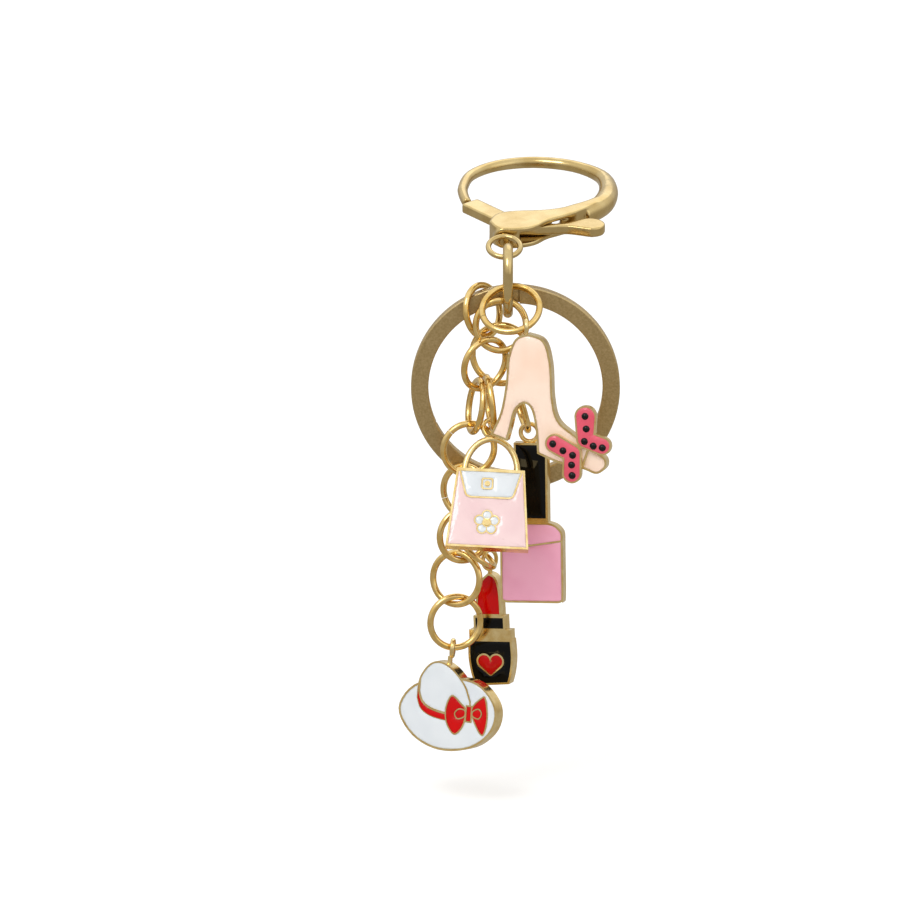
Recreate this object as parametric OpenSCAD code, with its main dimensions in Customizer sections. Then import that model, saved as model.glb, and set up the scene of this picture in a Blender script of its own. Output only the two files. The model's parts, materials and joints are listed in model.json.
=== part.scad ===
// Charm keychain: a trigger clasp, an oval link, a flat split ring, a short chain and five enamel charms.
// Millimetres. X right, Y away from the viewer, Z up. The origin is the centre of the clasp's hook opening.

/* [Clasp] */
// Lean of the clasp's face from level, in degrees
clasp_lean = 10; // [0:1:15]
// Thickness of the clasp across its two side plates
clasp_t = 3.2; // [3:0.1:3.6]
// Thickness of each side plate
plate_t = 0.8; // [0.6:0.05:0.9]
// Thickness of the hook arm at its root
hook_w = 2.1; // [1.6:0.1:2.4]
// Radius of the rivet that the lever turns on
rivet_r = 0.8; // [0.6:0.05:0.9]
// Radial gap between turning pieces
fit = 0.05; // [0.02:0.01:0.1]

/* [Rings] */
// Outside diameter of the flat split ring
split_od = 30; // [29:0.5:31]
// Width of the split ring's flat band
split_band = 2.5; // [2:0.1:2.6]
// Thickness of the split ring across both turns
split_t = 2; // [1.6:0.1:2]
// Outside diameter of a chain ring
chain_od = 8.4; // [8.3:0.05:8.5]
// Wire of the chain and jump rings
chain_wire = 0.95; // [0.7:0.05:0.95]
// Wire of the oval link under the clasp
link_wire = 1.45; // [1.2:0.05:1.45]

/* [Charms] */
// Thickness of a cast charm
charm_t = 2; // [1.6:0.1:2]
// Width of the metal rim round each enamel cell
rim = 0.3; // [0.25:0.05:0.4]
// Depth of an enamel cell
cell_depth = 0.5; // [0.3:0.05:0.6]
// How far the enamel lies below the rim
sink = 0.05; // [0.02:0.01:0.1]

/* [Hidden] */
$fn = 48;
GOLD = "goldenrod";
BRASS = "tan";
eps = 0.01;
ring_gap = 0.06;

// Where each ring hangs: centre, then its turn about X, Y and Z, in degrees.
ring_at = [
    ["chain_ring_1", [-4.9, -25.4, -14.3], [81, 8, 5]],
    ["chain_ring_2", [-7.2, -26.2, -19.8], [99, 2, 38]],
    ["chain_ring_3", [-8.5, -25.8, -26.1], [100, -1, 103]],
    ["chain_ring_4", [-9.5, -25.9, -32.4], [90, -1, 12]],
    ["chain_ring_5", [-9.9, -26, -38.7], [88, -1, -30]],
    ["chain_ring_6", [-10.2, -26.2, -45.1], [88, -3, 22]],
    ["chain_ring_7", [-11.3, -26.8, -51.4], [82, -1, -27]],
    ["chain_ring_8", [-11.4, -27.4, -57.7], [87, 3, 14]],
    ["bag_jump_ring", [-6.5, -26.7, -25.4], [84, 5, 96]],
    ["shoe_jump_ring", [-3.5, -27.4, -11.4], [39, -3, -6]],
    ["polish_ring_1", [-7.5, -22.4, -12.9], [78, 0, 51]],
    ["polish_ring_2", [-4.8, -22.7, -19.2], [86, 4, -10]],
    ["polish_jump_ring", [-2.3, -24.3, -25.9], [74, 1, 98]],
    ["lipstick_jump_ring", [-8.5, -25.8, -47.6], [0, 40, 0]],
];

// Where each charm hangs: centre of its loop, then lean (top away), roll and turn of its face.
shoe_at = [[-1.4, -30.3, -13.4], [6, 0, -12]];
bag_at = [[-6.3, -27.9, -28.9], [30, -3, 0]];
polish_at = [[-0.8, -25.4, -30.1], [6, 2, -12]];
lipstick_at = [[-6.5, -23.6, -49.4], [4, 4, -20]];
hat_at = [[-11.8, -27.7, -61.5], [8, 0, -30]];

function ring_place(name) = [for (r = ring_at) if (r[0] == name) r][0];

// One point of the smooth curve through p1 and p2, at t from 0 to 1
function between(p0, p1, p2, p3, t) = 0.5 * (2 * p1 + (p2 - p0) * t
    + (2 * p0 - 5 * p1 + 4 * p2 - p3) * t * t + (3 * p1 - p0 - 3 * p2 + p3) * t * t * t);

// A smooth open curve through the points, without its last point, so that stretches join into an outline
function stretch(p, steps = 5) = let (last = len(p) - 1)
    [for (i = [0:last - 1], s = [0:steps - 1])
        between(p[max(i - 1, 0)], p[i], p[i + 1], p[min(i + 2, last)], s / steps)];

// A smooth closed curve through the points
function loop_curve(p, steps = 5) = let (n = len(p))
    [for (i = [0:n - 1], s = [0:steps - 1])
        between(p[(i + n - 1) % n], p[i], p[(i + 1) % n], p[(i + 2) % n], s / steps)];

function unit(v) = v / norm(v);

// ---------- shared shapes ----------
// An oval section carried along a path that nowhere runs straight up: half widths across the path and upwards
module sweep(path, across, upwards, sides = 12) {
    n = len(path);
    points = [for (i = [0:n - 1]) let (
            ahead = path[min(i + 1, n - 1)] - path[max(i - 1, 0)],
            side = unit(cross(ahead, [0, 0, 1])),
            top = unit(cross(side, ahead)))
        for (k = [0:sides - 1]) let (a = 360 * k / sides)
            path[i] + side * across[i] * cos(a) + top * upwards[i] * sin(a)];
    walls = [for (i = [0:n - 2], k = [0:sides - 1]) let (m = (k + 1) % sides)
        [i * sides + k, i * sides + m, (i + 1) * sides + m, (i + 1) * sides + k]];
    ends = [[for (k = [sides - 1:-1:0]) k], [for (k = [0:sides - 1]) (n - 1) * sides + k]];
    polyhedron(points, concat(walls, ends));
}

module torus(r, wire, fn = 48) {
    rotate_extrude($fn = fn) translate([r, 0]) circle(d = wire, $fn = 24);
}

// A wire ring with a fine butt joint at an angle round it
module wire_ring(od, wire, joint = 90) {
    difference() {
        torus((od - wire) / 2, wire);
        rotate(joint) translate([(od - wire) / 2, 0, 0])
            cube([wire * 1.6, ring_gap, wire * 1.6], center = true);
    }
}

module hung_ring(name, od = chain_od, wire = chain_wire, joint = 90) {
    place = ring_place(name);
    color(GOLD) translate(place[1]) rotate(place[2]) wire_ring(od, wire, joint);
}

// Puts a charm's own frame (x right, y up, z out of its face, loop centre at zero) in place
module hang(at) {
    translate(at[0]) rotate([90 - at[1][0], 0, at[1][2]]) rotate(at[1][1]) children();
}

// The cast loop at the top of a charm
module cast_loop(od, wire, turn) {
    rotate([0, turn, 0]) torus((od - wire) / 2, wire);
}

// The short neck that joins a loop to its charm, from a height down and a little to one side
module loop_neck(top, length, aside = 0) {
    translate([aside, top, 0]) rotate([90, 0, 0]) cylinder(r = 0.35, h = length, $fn = 24);
}

// A flat cast plate with its face at half the charm's thickness
module plate(t = charm_t) {
    translate([0, 0, -charm_t / 2]) linear_extrude(t) children();
}

// The space of an enamel cell
module pocket() {
    translate([0, 0, charm_t / 2 - cell_depth]) linear_extrude(cell_depth + 1) children();
}

// The enamel in a cell
module fill_cell() {
    translate([0, 0, charm_t / 2 - cell_depth]) linear_extrude(cell_depth - sink) children();
}

module inset(by = rim) { offset(delta = -by) children(); }

// ---------- clasp, in its own plane: x right, y to the top of the hook, z out of the upper plate ----------
rivet_at = [-2.6, -14.4];
eye_x = -4.4;
gate_reach = 10.6;
hub_r = 1.6;
head_at = -16.3;
tail_end = -18.6;
neck_r = 0.6;
head_r = 1.1;
head_h = 1.2;
hook_path = stretch([[4.6, -11.4], [7.6, -9.2], [9.9, -5.8], [10.7, -0.6], [9.6, 4.4], [5.6, 8.2], [0, 9.6],
    [-5.4, 8.3], [-9.1, 4.8], [-10.3, 0.2], [-10.2, -3], [-9.6, -6.2]], 4);
body_outline = concat(
    stretch([[-6.6, -15.6], [-6, -13.6], [-4.8, -12.3], [-2.6, -11.7], [1, -11.4], [3.7, -10.6], [5.6, -9.3],
        [7.4, -8], [9, -6.6]]),
    stretch([[9, -6.6], [8.9, -8.4], [7.6, -10.6], [5.6, -12.6], [3.7, -14], [1.8, -15.4], [0.2, -17.4],
        [-1.6, -18.4], [-3.6, -18.6], [-5.6, -17.8], [-6.6, -15.6]]));

// The lever's arm to the thumb: a narrow neck and a round paddle
thumb_arm = stretch([[-1.4, -13.4], [0.6, -14.1], [3.5, -14.5], [5.4, -13.6], [7.4, -12.5], [9.2, -12.9],
    [10.1, -14.3], [9.7, -15.9], [8.3, -16.6], [6.6, -16.1], [5, -15.6], [3.5, -15.6], [0, -15.9],
    [-2.3, -15.8], [-1.4, -15]]);

module in_clasp() { rotate([clasp_lean, 0, 0]) children(); }

// The hook arm grows out of the body at its full thickness and thins towards its tip
module hook_arm() {
    n = len(hook_path);
    full_to = 0.15;
    thin_from = 0.45;
    fade = [for (i = [0:n - 1]) min(1, max(0, (thin_from - i / n) / (thin_from - full_to)))];
    swell = [for (f = fade) f * f * (3 - 2 * f)];
    half = [for (i = [0:n - 1]) (hook_w - 0.6 * i / n) / 2];
    sweep([for (p = hook_path) [p[0], p[1], 0]],
        [for (i = [0:n - 1]) half[i] + 0.7 * swell[i]],
        [for (i = [0:n - 1]) half[i] + (clasp_t / 2 - half[i]) * swell[i]]);
}

module clasp_body() {
    slot = clasp_t - 2 * plate_t;
    color(GOLD) in_clasp() difference() {
        union() {
            translate([0, 0, -clasp_t / 2]) linear_extrude(clasp_t) polygon(body_outline);
            difference() {
                hook_arm();
                translate([rivet_at[0], rivet_at[1], -3]) cylinder(r = gate_reach + 0.15, h = 6, $fn = 96);
            }
            translate([eye_x, head_at, 0]) rotate([90, 0, 0])
                cylinder(r = clasp_t / 2, h = head_at - tail_end);
        }
        // the slot that the lever swings in, open along both edges, with a solid root at the hook arm
        translate([-8, -15.6, -slot / 2]) cube([11.6, 6, slot]);
        translate([-2.2, -19, -slot / 2]) cube([7.6, 6, slot]);
        translate([rivet_at[0], rivet_at[1], -slot / 2]) cylinder(r = hub_r + 0.3, h = slot);
        // the rivet's bore
        translate([rivet_at[0], rivet_at[1], -3]) cylinder(r = rivet_r, h = 6);
        // the swivel's neck and the space for its head
        translate([eye_x, head_at, 0]) rotate([90, 0, 0]) cylinder(r = neck_r + fit, h = 5);
        translate([eye_x, head_at + 0.1, 0]) rotate([90, 0, 0]) cylinder(r = head_r + fit, h = head_h + 0.2);
    }
}

module clasp_lever() {
    slot = clasp_t - 2 * plate_t;
    inner = slot - 2 * fit;
    color(GOLD) in_clasp() difference() {
        translate([0, 0, -inner / 2]) union() {
            linear_extrude(inner) polygon([[-4.6, -14.6], [-2.4, -12.4], [-8.7, -4.8], [-11, -6.9]]);
            translate(rivet_at) cylinder(r = hub_r, h = inner);
            linear_extrude(inner) polygon(thumb_arm);
        }
        translate([rivet_at[0], rivet_at[1], -3]) cylinder(r = rivet_r + fit, h = 6);
        // the gate's end is round about the rivet, so that it passes the hook's tip
        difference() {
            translate([-14, -11, -3]) cube([8, 10, 6]);
            translate([rivet_at[0], rivet_at[1], -4]) cylinder(r = gate_reach, h = 8, $fn = 96);
        }
    }
}

module lever_rivet() {
    color(GOLD) in_clasp() translate([rivet_at[0], rivet_at[1], 0])
        cylinder(r = rivet_r, h = clasp_t, center = true);
}

// A torsion spring with a leg to the body's root and a leg to the thumb arm
module lever_spring() {
    coil_r = 0.7;
    wire = 0.2;
    pitch = 0.26;
    first = 90;
    last = 1260;
    half_height = pitch * (last - first) / 720;
    path = concat([[1.7, coil_r, half_height]],
        [for (a = [first:15:last])
            [coil_r * cos(a), coil_r * sin(a), half_height - pitch * (a - first) / 360]],
        [[-coil_r, -1.1, -half_height]]);
    radius = [for (p = path) wire / 2];
    color("silver") in_clasp() translate([1.7, -12.6, 0]) sweep(path, radius, radius, 8);
}

module swivel_eye() {
    color(GOLD) {
        translate([eye_x, -21.2, -3.74]) rotate([26, 0, 0]) torus(2.3, 0.8);
        in_clasp() translate([eye_x, 0, 0]) {
            translate([0, head_at, 0]) rotate([90, 0, 0]) cylinder(r = head_r, h = head_h);
            translate([0, head_at - 0.5, 0]) rotate([90, 0, 0]) cylinder(r = neck_r, h = 2.9);
        }
    }
}

// ---------- oval link and split ring ----------
link_at = [-3.9, -23.2, -8.2];
link_r = 3.4;
link_leg = 1.3;

module oval_link() {
    big = 20;
    color(GOLD) translate(link_at) rotate([90, 0, 90]) {
        for (side = [-1, 1]) {
            translate([0, side * link_leg, 0]) intersection() {
                torus(link_r, link_wire);
                translate([-big / 2, side > 0 ? 0 : -big, -big / 2]) cube(big);
            }
            translate([side * link_r, link_leg, 0]) rotate([90, 0, 0])
                cylinder(d = link_wire, h = 2 * link_leg, $fn = 24);
        }
    }
}

split_at = [-2.8, -22.6, -24.05];

module split_ring() {
    inner = split_od / 2 - split_band;
    outer = split_od / 2;
    h = split_t / 2;
    c = 0.15;
    g = 0.04;
    color(BRASS) translate(split_at) rotate([90, 0, 0]) difference() {
        rotate_extrude($fn = 128) polygon([[inner + c, -h], [outer - c, -h], [outer, -h + c], [outer, -g],
            [outer - 0.7, -g], [outer - 0.7, g], [outer, g], [outer, h - c], [outer - c, h], [inner + c, h],
            [inner, h - c], [inner, g], [inner + 0.7, g], [inner + 0.7, -g], [inner, -g], [inner, -h + c]]);
        // the end of the front turn and, opposite, the end of the back turn
        rotate(88) translate([inner - 1, -0.15, 0.05]) cube([split_band + 2, 0.3, 2]);
        rotate(205) translate([inner - 1, -0.15, -2.05]) cube([split_band + 2, 0.3, 2]);
    }
}

// ---------- rings ----------
module shoe_jump_ring() { hung_ring("shoe_jump_ring", od = 9.2, joint = 200); }
module chain_ring_1() { hung_ring("chain_ring_1", od = 8.2, joint = 250); }
module chain_ring_2() { hung_ring("chain_ring_2", joint = 20); }
module chain_ring_3() { hung_ring("chain_ring_3", joint = 175); }
module chain_ring_4() { hung_ring("chain_ring_4", joint = 135); }
module chain_ring_5() { hung_ring("chain_ring_5", joint = 200); }
module chain_ring_6() { hung_ring("chain_ring_6", joint = 60); }
module chain_ring_7() { hung_ring("chain_ring_7", joint = 215); }
module chain_ring_8() { hung_ring("chain_ring_8", joint = 20); }
module bag_jump_ring() { hung_ring("bag_jump_ring", joint = 85); }
module polish_ring_1() { hung_ring("polish_ring_1", joint = 10); }
module polish_ring_2() { hung_ring("polish_ring_2", od = 9.4, joint = 190); }
module polish_jump_ring() { hung_ring("polish_jump_ring", od = 9.4, joint = 30); }
module lipstick_jump_ring() { hung_ring("lipstick_jump_ring", od = 7.6, wire = 0.8, joint = 100); }

// ---------- shoe ----------
shoe_outline = concat(
    stretch([[0.5, -0.8], [-1.3, -1.7], [-2.3, -4.5], [-2.5, -8], [-3.2, -12.3], [-4.6, -15.6]]),
    [[-4.6, -15.6]],
    stretch([[-2.1, -16.4], [-1.6, -14.4], [-1, -12], [0.2, -10.9], [1.3, -11.7], [2, -14.5], [2.3, -18]]),
    stretch([[2.3, -18], [5.4, -19.2], [9, -19.9], [11, -20.5], [12.3, -19.6], [12.3, -18.3], [11, -17.2]]),
    stretch([[11, -17.2], [7.8, -15.1], [5.3, -13.1], [4.4, -10], [4, -5], [2.9, -1.7], [0.5, -0.8]]));

module shoe_cells() {
    difference() {
        inset() polygon(shoe_outline);
        polygon([[10.4, -14], [10.7, -14], [8.7, -21], [8.4, -21]]);
    }
}

module shoe_casting() {
    color(GOLD) hang(shoe_at) {
        cast_loop(2.8, 0.65, 107);
        difference() {
            plate() polygon(shoe_outline);
            pocket() shoe_cells();
        }
    }
}

module shoe_enamel() { color("bisque") hang(shoe_at) fill_cell() shoe_cells(); }

// The bow's two wings, each bent round its own corner: each lobe's centre and radius
bow_wings = [
    [[[9.4, -12.2], 1.6], [[9.5, -15.5], 1.35], [[11.9, -16.3], 1.35]],
    [[[5, -16.3], 1.4], [[7.6, -17.6], 1.35], [[7.6, -20.5], 1.4]],
];
bead_at = [[9.4, -12.1], [9.6, -13.9], [9.4, -15.7], [10.7, -16.3], [12, -16.5], [4.8, -16.3], [6.3, -17.2],
    [7.7, -17.8], [7.6, -19.2], [7.7, -20.7]];
bow_knot = [8.55, -16.55];
bow_base = charm_t / 2;
bow_t = 1;

module bow_outline(in = 0) {
    for (wing = bow_wings, part = [0, 1]) hull() {
        translate(wing[part][0]) circle(r = wing[part][1] - in, $fn = 32);
        translate(wing[part + 1][0]) circle(r = wing[part + 1][1] - in, $fn = 32);
    }
}

module bow_casting() {
    color(GOLD) hang(shoe_at) translate([0, 0, bow_base]) difference() {
        union() {
            linear_extrude(bow_t) bow_outline();
            translate(bow_knot) cylinder(r = 0.4, h = 0.7);
        }
        translate([0, 0, bow_t - 0.4]) linear_extrude(1) bow_outline(0.25);
    }
}

module bow_enamel() {
    color("crimson") hang(shoe_at) translate([0, 0, bow_base + bow_t - 0.4])
        linear_extrude(0.4) bow_outline(0.25);
}

module bow_beads() {
    bead_r = 0.57;
    color("black") hang(shoe_at) for (p = bead_at) translate([p[0], p[1], bow_base + bow_t]) intersection() {
        sphere(r = bead_r, $fn = 24);
        cylinder(r = bead_r * 2, h = bead_r * 2);
    }
}

// ---------- handbag ----------
bag_mid = 0.3;
bag_top = -6.3;
bag_low = -18;

module bag_outline() {
    polygon([[bag_mid - 4.85, bag_top], [bag_mid + 4.85, bag_top], [bag_mid + 5.95, bag_low],
        [bag_mid - 5.95, bag_low]]);
}

module bag_flap() {
    polygon(concat([[bag_mid - 4.6, bag_top - 0.2], [bag_mid + 4.6, bag_top - 0.2]],
        stretch([[bag_mid + 3.7, -9.7], [bag_mid + 3.4, -10.4], [bag_mid + 2.7, -10.7]], 4),
        stretch([[bag_mid - 2.7, -10.7], [bag_mid - 3.4, -10.4], [bag_mid - 3.7, -9.7]], 4),
        [[bag_mid - 3.7, -9.7]]));
}

lock_at = [bag_mid - 0.4, -8.5];
module bag_lock(size = 1.7) {
    translate(lock_at) offset(r = 0.3) square(size - 0.6, center = true);
}

flower_at = [bag_mid - 0.2, -14.3];
module petals(r) {
    for (i = [0:4]) translate(flower_at) rotate(90 + 72 * i) translate([1.1, 0]) circle(r = r, $fn = 24);
}

module bag_handle() {
    n = 24;
    wire = [for (i = [0:n]) 0.45];
    path = [for (i = [0:n]) [bag_mid - 3.8 * cos(180 * i / n), bag_top - 0.3 + 5 * sin(180 * i / n), 0]];
    sweep(path, wire, wire);
}

module bag_casting() {
    color(GOLD) hang(bag_at) {
        cast_loop(3.2, 0.65, 25);
        bag_handle();
        difference() {
            plate() bag_outline();
            pocket() difference() {
                inset() bag_outline();
                bag_flap();
                petals(0.8);
                translate(flower_at) circle(r = 0.9);
            }
            pocket() difference() {
                inset(0.25) bag_flap();
                bag_lock();
            }
            pocket() difference() {
                petals(0.6);
                translate(flower_at) circle(r = 0.65);
            }
            pocket() difference() {
                bag_lock(1.3);
                translate(lock_at) circle(r = 0.4);
            }
        }
        translate([lock_at[0], lock_at[1], charm_t / 2 - eps]) cylinder(r = 0.35, h = 0.2 + eps);
        translate([flower_at[0], flower_at[1], charm_t / 2 - eps]) cylinder(r = 0.45, h = 0.2 + eps);
    }
}

module bag_body_enamel() {
    color("mistyrose") hang(bag_at) fill_cell() difference() {
        inset() bag_outline();
        bag_flap();
        petals(0.8);
        translate(flower_at) circle(r = 0.9);
    }
}

module bag_flap_enamel() {
    color("white") hang(bag_at) fill_cell() {
        difference() {
            inset(0.25) bag_flap();
            bag_lock();
        }
        difference() {
            bag_lock(1.3);
            translate(lock_at) circle(r = 0.4);
        }
    }
}

module bag_flower_enamel() {
    color("white") hang(bag_at) fill_cell() difference() {
        petals(0.6);
        translate(flower_at) circle(r = 0.65);
    }
}

// ---------- nail polish ----------
cap_half = 2.45;
cap_top = -1.4;
cap_low = -12.6;
bottle_half = 4.6;
bottle_low = -24.6;

module cap_outline() {
    translate([-cap_half, cap_low]) square([2 * cap_half, cap_top - cap_low]);
}

module bottle_outline() {
    polygon(concat(
        stretch([[cap_half, -12.9], [3.6, -13.3], [4.5, -14.3], [bottle_half, -15.6]], 4),
        stretch([[bottle_half, -15.6], [bottle_half, -23.6], [4.3, -24.4], [3.6, bottle_low]], 4),
        stretch([[-3.6, bottle_low], [-4.3, -24.4], [-bottle_half, -23.6], [-bottle_half, -15.6]], 4),
        stretch([[-bottle_half, -15.6], [-4.5, -14.3], [-3.6, -13.3], [-cap_half, -12.9]], 4),
        [[-cap_half, -12.9]]));
}

// The thin curved line that parts the bottle's neck from its body
module bottle_line() {
    polygon([[-6, -16.6], [0, -16.1], [6, -15.2], [6, -15.45], [0, -16.35], [-6, -16.85]]);
}

module bottle_cells() {
    difference() {
        inset() bottle_outline();
        bottle_line();
    }
}

module polish_casting() {
    color(GOLD) hang(polish_at) translate([0.3, 0, 0]) {
        translate([-0.3, 0, 0]) cast_loop(3.2, 0.65, 0);
        difference() {
            plate() union() {
                cap_outline();
                translate([-cap_half, -13]) square([2 * cap_half, 1]);
                bottle_outline();
            }
            pocket() inset() cap_outline();
            pocket() bottle_cells();
        }
    }
}

module polish_cap_enamel() {
    color("black") hang(polish_at) translate([0.3, 0, 0]) fill_cell() inset() cap_outline();
}

module polish_bottle_enamel() {
    color("pink") hang(polish_at) translate([0.3, 0, 0]) fill_cell() bottle_cells();
}

// ---------- lipstick ----------
lip_mid = -0.1;

module bullet_outline() {
    translate([lip_mid, 0]) polygon(concat(
        stretch([[-1.9, -8.1], [-1.85, -5.4], [-1.1, -3], [0.1, -1.8]], 4),
        stretch([[0.1, -1.8], [1.2, -2.4], [1.8, -4.4], [1.9, -8.1]], 4), [[1.9, -8.1]]));
}

module collar_outline() { translate([lip_mid - 2.4, -10.2]) square([4.8, 2.15]); }
module band_outline() { translate([lip_mid - 3.15, -11.6]) square([6.3, 1.5]); }
module case_outline() {
    translate([lip_mid, 0]) polygon(concat(
        stretch([[3.3, -11.5], [3.4, -14.2], [3.05, -16.6], [2.5, -18.3]], 4),
        stretch([[-2.5, -18.3], [-3.05, -16.6], [-3.4, -14.2], [-3.3, -11.5]], 4), [[-3.3, -11.5]]));
}

module heart_outline(in = 0) {
    lobe = 1.15;
    translate([lip_mid - 0.1, -14.7]) for (side = [-1, 1]) hull() {
        translate([side * 0.95, 0]) circle(r = lobe - in, $fn = 24);
        translate([0, -1.7]) circle(r = 0.4 - in / 2, $fn = 16);
    }
}

module lipstick_casting() {
    color(GOLD) hang(lipstick_at) {
        cast_loop(3.3, 0.6, 65);
        loop_neck(-1.5, 0.5);
        difference() {
            plate() union() {
                bullet_outline();
                collar_outline();
                band_outline();
                case_outline();
            }
            pocket() inset() bullet_outline();
            pocket() inset() collar_outline();
            pocket() difference() {
                inset() case_outline();
                heart_outline();
            }
            pocket() heart_outline(0.25);
        }
    }
}

module lipstick_bullet_enamel() { color("firebrick") hang(lipstick_at) fill_cell() inset() bullet_outline(); }

module lipstick_case_enamel() {
    color("black") hang(lipstick_at) fill_cell() {
        inset() collar_outline();
        difference() {
            inset() case_outline();
            heart_outline();
        }
    }
}

module lipstick_heart_enamel() { color("firebrick") hang(lipstick_at) fill_cell() heart_outline(0.25); }

// ---------- hat ----------
brim_outline = loop_curve([[-7.7, -9.6], [-5.4, -5.9], [0, -4.2], [5, -4.4], [8.2, -7.4], [7.9, -11],
    [4.6, -13.9], [-0.6, -14.8], [-5.2, -13.2]], 5);
crown_outline = concat(
    stretch([[-4.8, -7.7], [-4.6, -4.9], [-3.2, -2.7], [-1.4, -2], [0.8, -2.8], [3, -4.9], [4.1, -7.2]]),
    stretch([[4.1, -7.2], [4, -9.6], [0.6, -10.4], [-2.4, -10.1], [-4.1, -9.2], [-4.8, -7.7]]));

module hat_band() {
    difference() {
        polygon(crown_outline);
        translate([0.25, 1]) polygon(crown_outline);
        translate([1.5, -12]) square([6, 8]);
    }
}

// The bow on the hat: two wings and a knot
bow_left = loop_curve([[0.9, -6.6], [2.6, -7.6], [3.5, -8.6], [3.1, -11], [1.7, -12.3], [0.3, -10.8],
    [0, -8.6]], 4);
bow_right = loop_curve([[4.2, -8.4], [5.9, -6.3], [6.6, -6.5], [7.1, -9.2], [6.6, -11.8], [5.5, -11.2]], 4);
module hat_bow(in = 0) {
    offset(delta = -in) polygon(bow_left);
    offset(delta = -in) polygon(bow_right);
    translate([3.9, -9]) offset(delta = -in) square([1.1, 2.5], center = true);
}

// The gold line of each wing's inner loop
loop_left = loop_curve([[3.3, -8.5], [2.2, -8.4], [1.5, -9.2], [2.1, -10], [3.3, -9.5]], 4);
loop_right = loop_curve([[4.5, -8.5], [5.5, -8], [6.1, -8.7], [5.6, -9.6], [4.5, -9.3]], 4);
module bow_lines() {
    for (line = [loop_left, loop_right]) difference() {
        polygon(line);
        offset(delta = -0.18) polygon(line);
    }
}

module hat_casting() {
    color(GOLD) hang(hat_at) {
        cast_loop(2.9, 0.75, 115);
        loop_neck(-1.2, 1.5, -0.3);
        difference() {
            plate() union() {
                polygon(brim_outline);
                polygon(crown_outline);
            }
            pocket() hat_white_cells();
            pocket() hat_red_cells();
        }
    }
}

module hat_white_cells() {
    difference() {
        inset() polygon(brim_outline);
        polygon(crown_outline);
        hat_bow();
    }
    difference() {
        inset(0.25) polygon(crown_outline);
        offset(delta = 0.2) hat_band();
        hat_bow();
    }
}

module hat_red_cells() {
    difference() {
        inset(0.1) hat_band();
        hat_bow();
    }
    difference() {
        hat_bow(0.2);
        bow_lines();
    }
}

module hat_white_enamel() { color("white") hang(hat_at) fill_cell() hat_white_cells(); }
module hat_red_enamel() { color("red") hang(hat_at) fill_cell() hat_red_cells(); }

clasp_body();
clasp_lever();
lever_rivet();
lever_spring();
swivel_eye();
oval_link();
split_ring();
shoe_jump_ring();
chain_ring_1();
chain_ring_2();
chain_ring_3();
chain_ring_4();
chain_ring_5();
chain_ring_6();
chain_ring_7();
chain_ring_8();
bag_jump_ring();
polish_ring_1();
polish_ring_2();
polish_jump_ring();
lipstick_jump_ring();
shoe_casting();
shoe_enamel();
bow_casting();
bow_enamel();
bow_beads();
bag_casting();
bag_body_enamel();
bag_flap_enamel();
bag_flower_enamel();
polish_casting();
polish_cap_enamel();
polish_bottle_enamel();
lipstick_casting();
lipstick_bullet_enamel();
lipstick_case_enamel();
lipstick_heart_enamel();
hat_casting();
hat_white_enamel();
hat_red_enamel();
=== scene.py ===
"""Looks for a charm keychain: trigger clasp, flat split ring and five soft-enamel charms on small gold rings.

Metres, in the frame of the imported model: X right, Y away from the viewer, Z up.
"""

import json
import logging
import math
from collections.abc import Callable
from dataclasses import dataclass
from enum import Enum

import bmesh
import bpy
from mathutils import Matrix, Vector
from mathutils.kdtree import KDTree


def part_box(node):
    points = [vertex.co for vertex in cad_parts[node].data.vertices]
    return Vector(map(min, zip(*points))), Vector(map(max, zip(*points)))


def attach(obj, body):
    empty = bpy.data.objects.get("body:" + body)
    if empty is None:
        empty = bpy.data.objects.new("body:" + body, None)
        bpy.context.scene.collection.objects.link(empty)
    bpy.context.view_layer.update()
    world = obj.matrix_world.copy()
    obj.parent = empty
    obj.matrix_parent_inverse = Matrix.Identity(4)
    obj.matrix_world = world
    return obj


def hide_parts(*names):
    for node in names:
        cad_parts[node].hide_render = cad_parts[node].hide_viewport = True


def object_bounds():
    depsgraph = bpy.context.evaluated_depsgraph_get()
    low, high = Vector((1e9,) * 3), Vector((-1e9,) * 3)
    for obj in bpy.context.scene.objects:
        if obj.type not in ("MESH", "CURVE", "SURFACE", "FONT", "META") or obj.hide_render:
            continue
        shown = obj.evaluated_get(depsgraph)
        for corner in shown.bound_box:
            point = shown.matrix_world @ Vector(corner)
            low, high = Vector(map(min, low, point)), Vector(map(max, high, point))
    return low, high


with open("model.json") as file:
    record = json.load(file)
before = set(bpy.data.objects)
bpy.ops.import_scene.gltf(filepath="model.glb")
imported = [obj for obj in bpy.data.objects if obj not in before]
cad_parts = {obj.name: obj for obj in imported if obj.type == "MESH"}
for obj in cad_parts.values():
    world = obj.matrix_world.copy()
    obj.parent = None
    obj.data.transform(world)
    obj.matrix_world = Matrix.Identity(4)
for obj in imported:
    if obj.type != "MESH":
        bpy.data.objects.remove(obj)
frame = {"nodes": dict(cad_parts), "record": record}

MM = 0.001
# How near two CAD vertices lie to be one, and how little two faces bend to be one
WELD_MM = 0.002
FLAT_DEG = 0.3
# An edge sharper than this is a real edge
SHARP_DEG = 35
# The poured surface: its flatness, the grid that it is cut into, the points along its rim and its soft bend
LEVEL_MM = 0.01
GRID_MM = 0.25
RIM_STEP_MM = 0.08
POUR_DEG = 50
CAD_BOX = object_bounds()
log = logging.getLogger("keychain")


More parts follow.
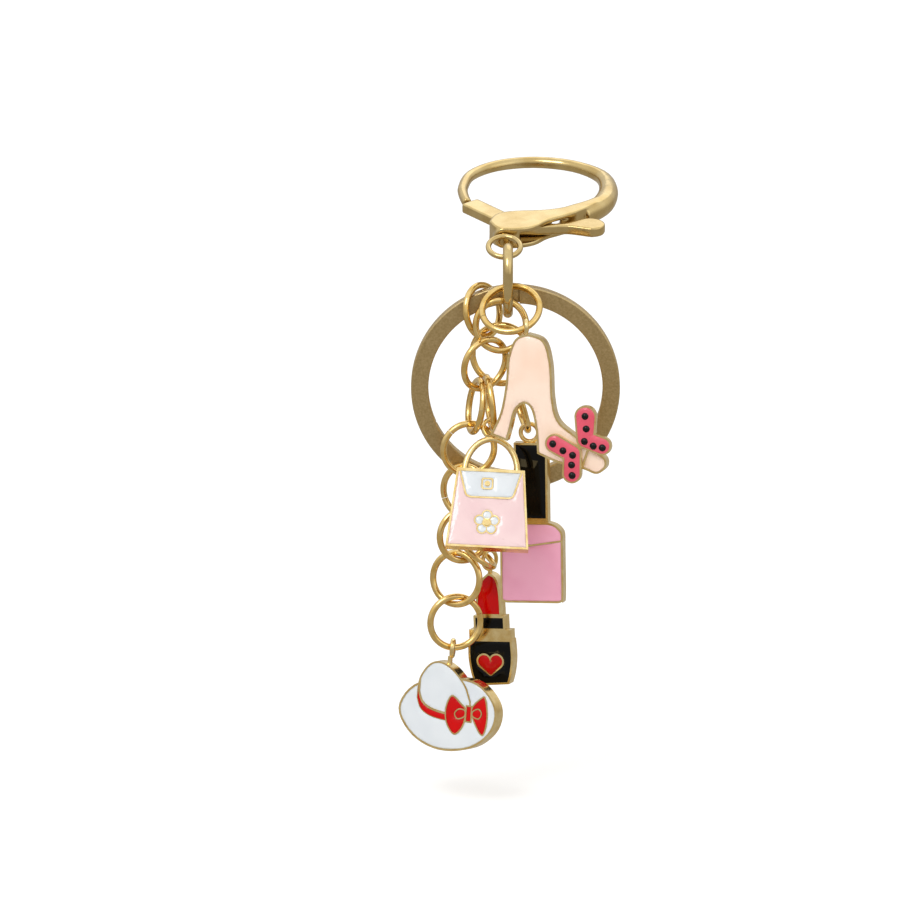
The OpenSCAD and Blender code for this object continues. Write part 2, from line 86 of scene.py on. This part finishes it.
class Slot(Enum):
    """The record's material slots."""

    CLASP_GOLD = "clasp_gold"
    WIRE_GOLD = "wire_gold"
    RING_BRASS = "ring_brass"
    CHARM_GOLD = "charm_gold"
    SPRING_STEEL = "spring_steel"
    ENAMEL_CREAM = "enamel_cream"
    ENAMEL_CORAL = "enamel_coral"
    BEAD_BLACK = "bead_black"
    ENAMEL_BLUSH = "enamel_blush"
    ENAMEL_WHITE = "enamel_white"
    ENAMEL_PINK = "enamel_pink"
    ENAMEL_BLACK = "enamel_black"
    ENAMEL_RED = "enamel_red"


# ---------- small tools for materials ----------
def linear(hex_colour: str) -> tuple[float, float, float, float]:
    """Turns an sRGB hex colour to linear light.

    Args:
        hex_colour: six hex digits after a hash.

    Returns:
        Red, green, blue and an alpha of one.
    """
    parts = [int(hex_colour[i : i + 2], 16) / 255 for i in (1, 3, 5)]
    red, green, blue = (c / 12.92 if c <= 0.04045 else ((c + 0.055) / 1.055) ** 2.4 for c in parts)
    return red, green, blue, 1.0


def add(
    tree: bpy.types.NodeTree, kind: str, inputs: dict | None = None, **settings: object
) -> bpy.types.Node:
    """Adds one node with its settings and links.

    Args:
        tree: the node tree to add to.
        kind: Blender's name for the node type.
        inputs: a value or a socket to link, for each input by name or number.
        settings: attributes to set on the node.

    Returns:
        The new node.
    """
    node = tree.nodes.new(kind)
    for name, value in settings.items():
        setattr(node, name, value)
    for name, value in (inputs or {}).items():
        if isinstance(value, bpy.types.NodeSocket):
            tree.links.new(value, node.inputs[name])
        else:
            node.inputs[name].default_value = value
    return node


def per_mm(size_mm: float) -> float:
    """Texture scale for features of a size in millimetres."""
    return 1 / (size_mm * MM)


def blank(name: str) -> tuple[bpy.types.Material, bpy.types.NodeTree, bpy.types.NodeSocket]:
    """Starts a material.

    Args:
        name: the finish's name.

    Returns:
        The material, its empty tree and a socket with the position on the piece in metres.
    """
    material = bpy.data.materials.new(name)
    material.use_nodes = True
    tree = material.node_tree
    tree.nodes.clear()
    place = add(tree, "ShaderNodeTexCoord").outputs["Object"]
    return material, tree, place


@dataclass(frozen=True)
class GoldPlate:
    """Gold plate over a cast or drawn base. It gives a warm mirror that is a little soft and uneven."""

    name: str
    face: str
    worn: str
    roughness: float
    haze: float
    ripple_mm: float
    ripple_depth_mm: float
    grit_mm: float

    def material(self) -> bpy.types.Material:
        """Builds the finish.

        Returns:
            The Blender material.
        """
        material, tree, place = blank(self.name)
        cloud = add(
            tree, "ShaderNodeTexNoise", {"Vector": place, "Scale": per_mm(self.ripple_mm), "Detail": 3.0}
        )
        grit = add(
            tree, "ShaderNodeTexNoise", {"Vector": place, "Scale": per_mm(self.grit_mm), "Detail": 4.0}
        )
        tone = add(tree, "ShaderNodeValToRGB", {"Fac": cloud.outputs["Fac"]})
        tone.color_ramp.elements[0].position = 0.35
        tone.color_ramp.elements[0].color = linear(self.worn)
        tone.color_ramp.elements[1].position = 0.65
        tone.color_ramp.elements[1].color = linear(self.face)
        rough = add(
            tree,
            "ShaderNodeMapRange",
            {0: grit.outputs["Fac"], 1: 0.35, 2: 0.7, 3: self.roughness, 4: self.roughness + self.haze},
        )
        wave = add(
            tree,
            "ShaderNodeBump",
            {"Height": cloud.outputs["Fac"], "Strength": 0.5, "Distance": self.ripple_depth_mm * MM},
        )
        shader = add(
            tree,
            "ShaderNodeBsdfPrincipled",
            {
                "Base Color": tone.outputs["Color"],
                "Metallic": 1.0,
                "Roughness": rough.outputs[0],
                "Normal": wave.outputs["Normal"],
            },
        )
        add(tree, "ShaderNodeOutputMaterial", {"Surface": shader.outputs[0]})
        return material


@dataclass(frozen=True)
class BrushedBrass:
    """Matte brass plate brushed round a ring. It gives a soft tan sheen with fine lines along the band."""

    name: str
    face: str
    dark: str
    roughness: float
    line_mm: float
    line_depth_mm: float
    centre: tuple[float, float, float]
    # how much of the position along the band is kept, so that the lines run long
    stretch: float = 0.03
    # the size of the plate's grain
    grain_mm: float = 0.25

    def material(self) -> bpy.types.Material:
        """Builds the finish.

        Returns:
            The Blender material.
        """
        material, tree, place = blank(self.name)
        arm = add(tree, "ShaderNodeVectorMath", {0: place, 1: self.centre}, operation="SUBTRACT")
        flat = add(
            tree, "ShaderNodeVectorMath", {0: arm.outputs[0], 1: (1.0, 0.0, 1.0)}, operation="MULTIPLY"
        )
        reach = add(tree, "ShaderNodeVectorMath", {0: flat.outputs[0]}, operation="LENGTH")
        along = add(
            tree, "ShaderNodeVectorMath", {0: arm.outputs[0], "Scale": self.stretch}, operation="SCALE"
        )
        lane = add(tree, "ShaderNodeCombineXYZ", {"X": reach.outputs["Value"]})
        spot = add(tree, "ShaderNodeVectorMath", {0: along.outputs[0], 1: lane.outputs[0]}, operation="ADD")
        lines = add(
            tree,
            "ShaderNodeTexNoise",
            {"Vector": spot.outputs[0], "Scale": per_mm(self.line_mm), "Detail": 3.0},
        )
        grain = add(
            tree, "ShaderNodeTexNoise", {"Vector": place, "Scale": per_mm(self.grain_mm), "Detail": 4.0}
        )
        tone = add(tree, "ShaderNodeValToRGB", {"Fac": grain.outputs["Fac"]})
        tone.color_ramp.elements[0].position = 0.3
        tone.color_ramp.elements[0].color = linear(self.dark)
        tone.color_ramp.elements[1].position = 0.7
        tone.color_ramp.elements[1].color = linear(self.face)
        rough = add(
            tree,
            "ShaderNodeMapRange",
            {0: lines.outputs["Fac"], 1: 0.3, 2: 0.7, 3: self.roughness, 4: self.roughness + 0.12},
        )
        bump = add(
            tree,
            "ShaderNodeBump",
            {"Height": lines.outputs["Fac"], "Strength": 0.6, "Distance": self.line_depth_mm * MM},
        )
        shader = add(
            tree,
            "ShaderNodeBsdfPrincipled",
            {
                "Base Color": tone.outputs["Color"],
                "Metallic": 1.0,
                "Roughness": rough.outputs[0],
                "Normal": bump.outputs["Normal"],
            },
        )
        add(tree, "ShaderNodeOutputMaterial", {"Surface": shader.outputs[0]})
        return material


@dataclass(frozen=True)
class SoftEnamel:
    """Soft enamel poured into a cell and cured. It gives a deep even colour under a wet, wavy gloss."""

    name: str
    colour: str
    shade: str
    roughness: float = 0.3
    pour_mm: float = 4.0
    wave_depth_mm: float = 0.03
    sheen_level: float = 0.5
    gloss: float = 1.0

    def material(self) -> bpy.types.Material:
        """Builds the finish.

        Returns:
            The Blender material.
        """
        material, tree, place = blank(self.name)
        pour = add(
            tree, "ShaderNodeTexNoise", {"Vector": place, "Scale": per_mm(self.pour_mm), "Detail": 1.5}
        )
        tone = add(tree, "ShaderNodeValToRGB", {"Fac": pour.outputs["Fac"]})
        tone.color_ramp.elements[0].position = 0.3
        tone.color_ramp.elements[0].color = linear(self.shade)
        tone.color_ramp.elements[1].position = 0.6
        tone.color_ramp.elements[1].color = linear(self.colour)
        wave = add(
            tree,
            "ShaderNodeBump",
            {"Height": pour.outputs["Fac"], "Strength": 0.5, "Distance": self.wave_depth_mm * MM},
        )
        shader = add(
            tree,
            "ShaderNodeBsdfPrincipled",
            {
                "Base Color": tone.outputs["Color"],
                "Roughness": self.roughness,
                "IOR": 1.5,
                "Specular IOR Level": self.sheen_level,
                "Coat Weight": self.gloss,
                "Coat Roughness": 0.04,
                "Coat IOR": 1.5,
                "Normal": wave.outputs["Normal"],
                "Coat Normal": wave.outputs["Normal"],
            },
        )
        add(tree, "ShaderNodeOutputMaterial", {"Surface": shader.outputs[0]})
        return material


@dataclass(frozen=True)
class StudioCard:
    """Matte painted board for the floor. It gives an even pale ground with soft shadows."""

    name: str
    colour: str

    def material(self) -> bpy.types.Material:
        """Builds the finish.

        Returns:
            The Blender material.
        """
        material, tree, place = blank(self.name)
        grain = add(tree, "ShaderNodeTexNoise", {"Vector": place, "Scale": per_mm(3.0), "Detail": 2.0})
        bump = add(
            tree, "ShaderNodeBump", {"Height": grain.outputs["Fac"], "Strength": 0.1, "Distance": 0.1 * MM}
        )
        shader = add(
            tree,
            "ShaderNodeBsdfPrincipled",
            {"Base Color": linear(self.colour), "Roughness": 0.9, "Normal": bump.outputs["Normal"]},
        )
        add(tree, "ShaderNodeOutputMaterial", {"Surface": shader.outputs[0]})
        return material


def finishes() -> dict[str, bpy.types.Material]:
    """Makes one material for each slot of the record.

    Returns:
        The materials by slot name.
    """
    low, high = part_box("split_ring")
    middle = (low + high) / 2
    made = {
        # tumbled die-cast zinc under champagne gold plate: broad satin reflections with a slight ripple
        Slot.CLASP_GOLD: GoldPlate(
            "champagne_gold_plate_satin", "#D3BC86", "#C2A76D", 0.15, 0.1, 3.0, 0.012, 0.15
        ),
        # drawn wire under rich gold plate: narrow bright lines along each ring, with a faint ripple
        Slot.WIRE_GOLD: GoldPlate("rich_gold_plate_wire", "#EFD18F", "#E1BC6E", 0.1, 0.08, 1.2, 0.006, 0.1),
        # brushed brass plate: satin, with lines that follow the band
        Slot.RING_BRASS: BrushedBrass(
            "antique_brass_plate_brushed", "#C8B082", "#B09869", 0.36, 0.12, 0.01, tuple(middle)
        ),
        # cast rims: polished on top, slightly rough from the mould
        Slot.CHARM_GOLD: GoldPlate(
            "pale_gold_plate_cast", "#F4DEA6", "#E5C785", 0.14, 0.12, 1.5, 0.015, 0.12
        ),
        # bare spring wire: cold grey mirror, seen only through the slot
        Slot.SPRING_STEEL: GoldPlate("spring_steel_wire", "#C4C6CA", "#A9ABB0", 0.2, 0.1, 1.0, 0.004, 0.1),
        # soft enamel, poured and cured: deep even colour under a wet gloss, with less gloss on black and red
        Slot.ENAMEL_CREAM: SoftEnamel("soft_enamel_peach_cream", "#F6DCC8", "#F3D3BC"),
        Slot.ENAMEL_CORAL: SoftEnamel("soft_enamel_coral", "#DC4A62", "#D24059"),
        Slot.BEAD_BLACK: SoftEnamel(
            "epoxy_dot_black",
            "#040404",
            "#070607",
            roughness=0.15,
            wave_depth_mm=0.0,
            sheen_level=0.0,
            gloss=0.6,
        ),
        Slot.ENAMEL_BLUSH: SoftEnamel("soft_enamel_blush", "#EBCDCC", "#E6C4C5"),
        Slot.ENAMEL_WHITE: SoftEnamel("soft_enamel_cool_white", "#DCE1E5", "#D4DADF"),
        Slot.ENAMEL_PINK: SoftEnamel("soft_enamel_rose", "#E79FB8", "#E194AF"),
        Slot.ENAMEL_BLACK: SoftEnamel(
            "soft_enamel_black", "#040404", "#080708", sheen_level=0.0, gloss=0.35
        ),
        Slot.ENAMEL_RED: SoftEnamel(
            "soft_enamel_deep_red", "#C60306", "#B00205", sheen_level=0.0, gloss=0.5
        ),
    }
    return {slot.value: finish.material() for slot, finish in made.items()}


# ---------- small tools for meshes ----------
def home_of(node: str) -> str:
    """The body that a CAD node rides on."""
    groups = frame["record"]["behaviour"]["bodies"]
    return next(body for body, members in groups.items() if node in members)


def slot_of(node: str) -> str:
    """The record's material slot of a CAD node."""
    return next(row["material_slot"] for row in frame["record"]["subparts"] if row["node"] == node)


def dress(piece: bpy.types.Object, material: bpy.types.Material) -> None:
    """Gives a piece one material all over."""
    piece.data.materials.clear()
    piece.data.materials.append(material)
    for face in piece.data.polygons:
        face.material_index = 0


def mesh_of(node: str) -> bmesh.types.BMesh:
    """Copies a CAD node's mesh with its seams closed and its flat faces joined.

    Args:
        node: the CAD node's name.

    Returns:
        A new bmesh.
    """
    work = bmesh.new()
    work.from_mesh(frame["nodes"][node].data)
    bmesh.ops.remove_doubles(work, verts=work.verts, dist=WELD_MM * MM)
    bmesh.ops.dissolve_limit(
        work,
        angle_limit=math.radians(FLAT_DEG),
        use_dissolve_boundaries=False,
        verts=work.verts,
        edges=work.edges,
    )
    return work


def new_piece(
    work: bmesh.types.BMesh, name: str, node: str, material: bpy.types.Material
) -> bpy.types.Object:
    """Turns a bmesh into a piece that stands for a CAD node and rides with it.

    Args:
        work: the finished bmesh, which is freed.
        name: the piece's name.
        node: the CAD node that it stands for.
        material: its finish.

    Returns:
        The new object.
    """
    mesh = bpy.data.meshes.new(name)
    work.to_mesh(mesh)
    work.free()
    piece = bpy.data.objects.new(name, mesh)
    bpy.context.scene.collection.objects.link(piece)
    dress(piece, material)
    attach(piece, home_of(node))
    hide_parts(node)
    return piece


def face_direction(work: bmesh.types.BMesh) -> Vector:
    """The direction that a flat charm's face looks in: the widest group of faces on the viewer's side.

    Args:
        work: the mesh.

    Returns:
        A unit vector.
    """
    sums: dict[tuple[float, float, float], Vector] = {}
    for face in work.faces:
        if face.normal.y < -0.2:
            key = tuple(round(c, 1) for c in face.normal)
            sums[key] = sums.get(key, Vector()) + face.normal * face.calc_area()
    return max(sums.values(), key=lambda v: v.length).normalized()


def smooth_by_angle(piece: bpy.types.Object, degrees: float) -> None:
    """Shades a piece smooth except across edges sharper than an angle."""
    piece.data.polygons.foreach_set("use_smooth", [True] * len(piece.data.polygons))
    piece.data.set_sharp_from_angle(angle=math.radians(degrees))


def grid_cut(work: bmesh.types.BMesh, direction: Vector, step: float, on_top: Callable) -> None:
    """Cuts the poured surface into even strips.

    Args:
        work: the mesh.
        direction: the way across the strips.
        step: their width.
        on_top: tells the faces of the poured surface.
    """
    spread = [v.co.dot(direction) for v in work.verts]
    for i in range(1, int((max(spread) - min(spread)) / step) + 1):
        top = [f for f in work.faces if on_top(f)]
        parts = {e for f in top for e in f.edges} | {v for f in top for v in f.verts} | set(top)
        at = min(spread) + i * step
        bmesh.ops.bisect_plane(work, geom=list(parts), plane_co=direction * at, plane_no=direction)


def rim_tree(edges: list[bmesh.types.BMEdge], spacing: float) -> KDTree:
    """Collects points along a cell's rim, for finding how far the rim is.

    Args:
        edges: the rim's edges.
        spacing: how far apart the points are.

    Returns:
        The points in a search tree.
    """
    samples = []
    for edge in edges:
        a, b = (v.co for v in edge.verts)
        count = max(1, int((b - a).length / spacing))
        samples += [a.lerp(b, i / count) for i in range(count + 1)]
    tree = KDTree(len(samples))
    for i, point in enumerate(samples):
        tree.insert(point, i)
    tree.balance()
    return tree


def domed(
    node: str, name: str, material: bpy.types.Material, height_mm: float, reach_mm: float, settle: int = 6
) -> bpy.types.Object:
    """Makes poured enamel from a CAD fill: the same outline, with a face that rises in a round shoulder.

    Args:
        node: the CAD enamel node.
        name: the piece's name.
        material: its finish.
        height_mm: how far the middle stands above the edge.
        reach_mm: how far from the edge the shoulder ends.
        settle: how often the pour levels itself out.

    Returns:
        The new piece.
    """
    work = mesh_of(node)
    out = face_direction(work)
    across = (Vector((1, 0, 0)) - out * out.x).normalized()
    up = out.cross(across)
    level = max(v.co.dot(out) for v in work.verts)

    def on_top(face: bmesh.types.BMFace) -> bool:
        """True for a face of the poured surface."""
        depth = level - face.calc_center_median().dot(out)
        return face.normal.dot(out) > 0.99 and abs(depth) < LEVEL_MM * MM

    bmesh.ops.triangulate(work, faces=[f for f in work.faces if on_top(f)])
    for direction in (across, up):
        grid_cut(work, direction, GRID_MM * MM, on_top)
    top = [f for f in work.faces if on_top(f)]
    edge = [e for f in top for e in f.edges if sum(g in set(top) for g in e.link_faces) == 1]
    tree = rim_tree(edge, RIM_STEP_MM * MM)
    rim = {v for e in edge for v in e.verts}
    lift = {v: 0.0 for f in top for v in f.verts}
    for v in lift.keys() - rim:
        near = min(1.0, tree.find(v.co)[2] / (reach_mm * MM))
        lift[v] = height_mm * MM * math.sqrt(1 - (1 - near) ** 2)
    around = {v: [e.other_vert(v) for e in v.link_edges] for v in lift if v not in rim}
    for _ in range(settle):
        mean = {v: sum(lift.get(n, 0.0) for n in beside) / len(beside) for v, beside in around.items()}
        lift.update({v: (lift[v] + mean[v]) / 2 for v in mean})
    for v, rise in lift.items():
        v.co += out * rise
    piece = new_piece(work, name, node, material)
    smooth_by_angle(piece, POUR_DEG)
    return piece


def eased(
    node: str,
    name: str,
    material: bpy.types.Material,
    width_mm: float,
    edge: bpy.types.Material | None = None,
) -> bpy.types.Object:
    """Makes a cast piece from a CAD node, with its sharp edges eased as polishing leaves them.

    Args:
        node: the CAD node.
        name: the piece's name.
        material: its finish.
        width_mm: width of the eased edge.
        edge: finish of the eased edge, where it differs.

    Returns:
        The new piece.
    """
    piece = new_piece(mesh_of(node), name, node, material)
    smooth_by_angle(piece, SHARP_DEG)
    ease = piece.modifiers.new("eased_edges", "BEVEL")
    ease.width = width_mm * MM
    ease.segments = 3
    ease.limit_method = "ANGLE"
    ease.angle_limit = math.radians(SHARP_DEG)
    ease.harden_normals = True
    ease.use_clamp_overlap = True
    if edge:
        piece.data.materials.append(edge)
        ease.material = 1
    return piece


def tumbled(
    nodes: tuple[str, ...],
    name: str,
    material: bpy.types.Material,
    voxel_mm: float,
    rounds: int,
    lean_deg: float,
) -> bpy.types.Object:
    """Makes a tumbled, rounded casting from CAD nodes: joined, remeshed evenly, then smoothed.

    Args:
        nodes: the CAD nodes, the main one first.
        name: the piece's name.
        material: its finish.
        voxel_mm: size of the even mesh.
        rounds: how often the mesh is smoothed.
        lean_deg: the part's own lean about X, so that the mesh lines up with its faces.

    Returns:
        The new piece.
    """
    work = mesh_of(nodes[0])
    for other in nodes[1:]:
        work.from_mesh(frame["nodes"][other].data)
    lean = Matrix.Rotation(math.radians(lean_deg), 4, "X")
    bmesh.ops.transform(work, matrix=lean.inverted(), verts=work.verts)
    mesh = bpy.data.meshes.new(name + "_rough")
    work.to_mesh(mesh)
    work.free()
    rough = bpy.data.objects.new(name + "_rough", mesh)
    bpy.context.scene.collection.objects.link(rough)
    even = rough.modifiers.new("even", "REMESH")
    even.mode = "VOXEL"
    even.voxel_size = voxel_mm * MM
    ease = rough.modifiers.new("ease", "SMOOTH")
    ease.factor = 0.5
    ease.iterations = rounds
    result = bpy.data.meshes.new_from_object(rough.evaluated_get(bpy.context.evaluated_depsgraph_get()))
    bpy.data.objects.remove(rough)
    work = bmesh.new()
    work.from_mesh(result)
    bpy.data.meshes.remove(result)
    bmesh.ops.transform(work, matrix=lean, verts=work.verts)
    piece = new_piece(work, name, nodes[0], material)
    for other in nodes[1:]:
        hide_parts(other)
    piece.data.polygons.foreach_set("use_smooth", [True] * len(piece.data.polygons))
    return piece


# ---------- sub-assemblies ----------
@dataclass
class Clasp:
    """The trigger clasp: body with its hook, sprung lever, rivet, spring and swivel eye."""

    finish: dict[str, bpy.types.Material]
    lean_deg: float = 10.0
    voxel_mm: float = 0.12
    rounds: int = 45

    def build(self) -> list[bpy.types.Object]:
        """Builds the rounded body and lever.

        Returns:
            The new pieces.
        """
        gold = self.finish[Slot.CLASP_GOLD.value]
        return [
            tumbled(
                ("clasp_body", "lever_rivet"),
                "clasp_body_cast",
                gold,
                self.voxel_mm,
                self.rounds,
                self.lean_deg,
            ),
            tumbled(("clasp_lever",), "clasp_lever_cast", gold, self.voxel_mm, self.rounds, self.lean_deg),
        ]

    def dress(self) -> None:
        """Finishes the small parts that keep their CAD shape."""
        for node in ("lever_spring", "swivel_eye"):
            dress(frame["nodes"][node], self.finish[slot_of(node)])


@dataclass
class Rings:
    """The split ring with rolled edges, and the oval link and wire rings in their CAD shapes."""

    finish: dict[str, bpy.types.Material]
    edge_mm: float = 0.13

    def build(self) -> list[bpy.types.Object]:
        """Builds the split ring with its edges rolled and polished, in a paler gold than the band: a painted
        highlight along the edges.

        Returns:
            The new pieces.
        """
        band = self.finish[Slot.RING_BRASS.value]
        polished_edge_with_painted_highlight = self.finish[Slot.CHARM_GOLD.value]
        # the eased edges take the smoother, paler charm gold: the smoother polish is real, the paler colour
        # is a painted highlight
        return [eased("split_ring", "split_ring_rolled", band, self.edge_mm, polished_edge_with_painted_highlight)]

    def dress(self) -> list[bpy.types.Object]:
        """Finishes each wire ring.

        Returns:
            The rings.
        """
        rings = [n for n in frame["nodes"] if n != "split_ring" and ("_ring" in n or n == "oval_link")]
        for node in rings:
            dress(frame["nodes"][node], self.finish[slot_of(node)])
        return [frame["nodes"][n] for n in rings]


@dataclass
class Charm:
    """A cast charm with its enamel fills."""

    name: str
    castings: tuple[str, ...]
    enamels: tuple[str, ...]
    finish: dict[str, bpy.types.Material]
    edge_mm: float = 0.06
    dome_mm: float = 0.12
    shoulder_mm: float = 1.0

    def build(self) -> list[bpy.types.Object]:
        """Builds the castings and the domed enamel.

        Returns:
            The new pieces.
        """
        made = [eased(n, n + "_polished", self.finish[slot_of(n)], self.edge_mm) for n in self.castings]
        made += [
            domed(n, n + "_domed", self.finish[slot_of(n)], self.dome_mm, self.shoulder_mm)
            for n in self.enamels
        ]
        return made


@dataclass
class Studio:
    """A plain pale floor, soft light and the camera."""

    floor_gap_mm: float = 8.0
    floor_size: float = 6.0
    lens_mm: float = 600.0
    sensor_mm: float = 36.0
    look_down_deg: float = 14.0
    width_mm: float = 129.2
    aim_mm: tuple[float, float, float] = (-12.2, -25.0, -32.8)

    def build(self) -> None:
        """Builds the stage, the lights and the camera."""
        self.floor()
        self.sky()
        self.lamp("key", (-0.25, -0.45, 0.55), 0.3, 1.3)
        self.lamp("fill", (0.5, -0.4, 0.25), 0.5, 0.3)
        self.lamp("back", (0.1, 0.5, 0.5), 0.5, 0.5)
        self.camera()

    def floor(self) -> None:
        """Lays the floor just below the hanging charms."""
        half = self.floor_size / 2
        level = CAD_BOX[0].z - self.floor_gap_mm * MM
        mesh = bpy.data.meshes.new("floor")
        corners = [(-half, -half, level), (half, -half, level), (half, half, level), (-half, half, level)]
        mesh.from_pydata(corners, [], [(0, 1, 2, 3)])
        floor = bpy.data.objects.new("floor", mesh)
        bpy.context.scene.collection.objects.link(floor)
        dress(floor, StudioCard("white_card_matte", "#FEFEFE").material())
        # the bright floor stays out of the reflections, so that black enamel stays black
        floor.visible_glossy = False

    def sky(self) -> None:
        """Sets a soft light from all round, brighter above."""
        world = bpy.data.worlds.new("studio")
        bpy.context.scene.world = world
        world.use_nodes = True
        tree = world.node_tree
        tree.nodes.clear()
        place = add(tree, "ShaderNodeTexCoord").outputs["Generated"]
        height = add(tree, "ShaderNodeSeparateXYZ", {"Vector": place}).outputs["Z"]
        ramp = add(tree, "ShaderNodeValToRGB", {"Fac": height})
        ramp.color_ramp.elements[0].position = 0.0
        ramp.color_ramp.elements[0].color = linear("#B6B1A9")
        ramp.color_ramp.elements[1].position = 0.6
        ramp.color_ramp.elements[1].color = linear("#FFFFFF")
        light = add(tree, "ShaderNodeBackground", {"Color": ramp.outputs["Color"], "Strength": 1.04})
        add(tree, "ShaderNodeOutputWorld", {"Surface": light.outputs[0]})

    def lamp(self, name: str, place: tuple[float, float, float], size: float, watts: float) -> None:
        """Adds one square soft light that faces the charms.

        Args:
            name: the light's name.
            place: where it stands.
            size: its side.
            watts: its power.
        """
        data = bpy.data.lights.new(name, "AREA")
        data.shape = "SQUARE"
        data.size = size
        data.energy = watts
        lamp = bpy.data.objects.new(name, data)
        lamp.location = place
        aim = Vector(self.aim_mm) * MM
        lamp.rotation_mode = "QUATERNION"
        lamp.rotation_quaternion = (aim - Vector(place)).to_track_quat("-Z", "Y")
        bpy.context.scene.collection.objects.link(lamp)

    def camera(self) -> None:
        """Places a long lens a little above the charms, looking slightly down."""
        data = bpy.data.cameras.new("camera")
        data.lens = self.lens_mm
        data.sensor_width = self.sensor_mm
        camera = bpy.data.objects.new("camera", data)
        down = math.radians(self.look_down_deg)
        ahead = Vector((0, math.cos(down), -math.sin(down)))
        distance = self.width_mm * MM * self.lens_mm / self.sensor_mm
        camera.location = Vector(self.aim_mm) * MM - ahead * distance
        camera.rotation_mode = "QUATERNION"
        camera.rotation_quaternion = ahead.to_track_quat("-Z", "Y")
        bpy.context.scene.collection.objects.link(camera)
        bpy.context.scene.camera = camera
        bpy.context.scene.view_settings.view_transform = "Standard"


def charms(finish: dict[str, bpy.types.Material]) -> list[Charm]:
    """Lists the five charms.

    Args:
        finish: the materials by slot.

    Returns:
        The charms from top to bottom.
    """
    return [
        Charm(
            "shoe",
            ("shoe_casting", "bow_casting"),
            ("shoe_enamel", "bow_enamel"),
            finish,
            dome_mm=0.28,
            shoulder_mm=1.3,
        ),
        Charm("bag", ("bag_casting",), ("bag_body_enamel", "bag_flap_enamel", "bag_flower_enamel"), finish),
        Charm("polish", ("polish_casting",), ("polish_cap_enamel", "polish_bottle_enamel"), finish),
        Charm(
            "lipstick",
            ("lipstick_casting",),
            ("lipstick_bullet_enamel", "lipstick_case_enamel", "lipstick_heart_enamel"),
            finish,
        ),
        Charm("hat", ("hat_casting",), ("hat_white_enamel", "hat_red_enamel"), finish),
    ]


def report(pieces: list[bpy.types.Object]) -> None:
    """Logs each piece's name and face count."""
    for piece in pieces:
        log.info("%s: %d faces", piece.name, len(piece.data.polygons))


def main() -> None:
    """Builds the keychain's looks and the studio."""
    logging.basicConfig(level=logging.INFO, format="%(message)s")
    finish = finishes()
    clasp = Clasp(finish)
    report(clasp.build())
    clasp.dress()
    rings = Rings(finish)
    report(rings.build())
    report(rings.dress())
    for charm in charms(finish):
        report(charm.build())
    dress(frame["nodes"]["bow_beads"], finish[Slot.BEAD_BLACK.value])
    Studio().build()


if __name__ == "__main__":
    main()
